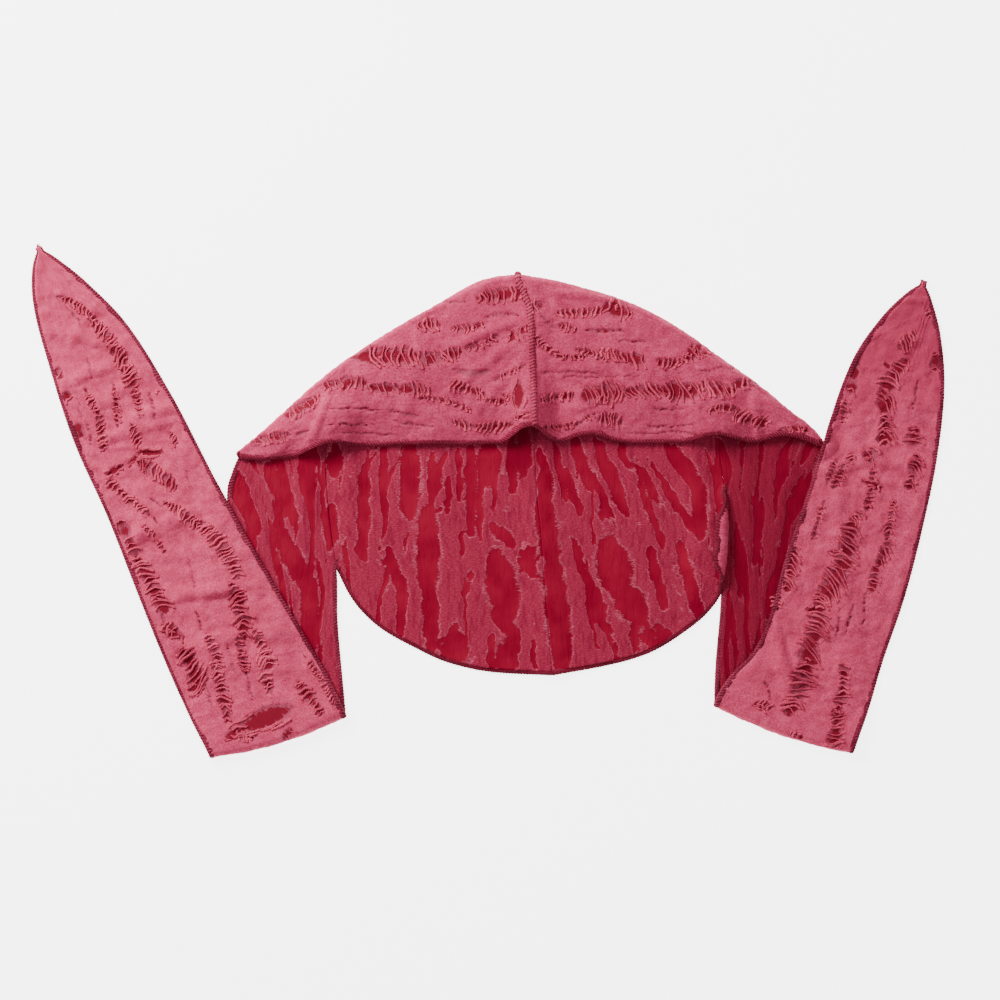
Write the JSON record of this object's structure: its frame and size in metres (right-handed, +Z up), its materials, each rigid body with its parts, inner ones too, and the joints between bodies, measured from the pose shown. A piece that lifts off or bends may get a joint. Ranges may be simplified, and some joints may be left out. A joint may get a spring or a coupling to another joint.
{
  "type": "durag",
  "caption": "Distressed knit durag laid flat: folded crown with centre seam and round tail, two long tie straps folded back over themselves.",
  "frame": {"origin": "middle of the bottom of the whole laid piece, on the surface it lies on", "axes": "+X across the head to the wearer's right-hand strap in the picture, +Y from the tail to the fold over the crown, +Z up off the surface"},
  "size_m": [0.5838, 0.3294, 0.019],
  "materials": {
    "crown_cloth": "matte rose knit with ladder rips over crimson satin",
    "strap_cloth": "matte rose knit with ladder rips over crimson satin",
    "seam_thread": "matte stitched cloth ridge",
    "edging_thread": "matte overlock thread"
  },
  "bodies": {
    "root": {"left_crown_panel": "crown_cloth", "right_crown_panel": "crown_cloth", "center_seam": "seam_thread", "left_strap": "strap_cloth", "right_strap": "strap_cloth", "front_edging": "edging_thread", "tail_edging": "edging_thread", "left_strap_edging": "edging_thread", "right_strap_edging": "edging_thread"}
  },
  "joints": []
}
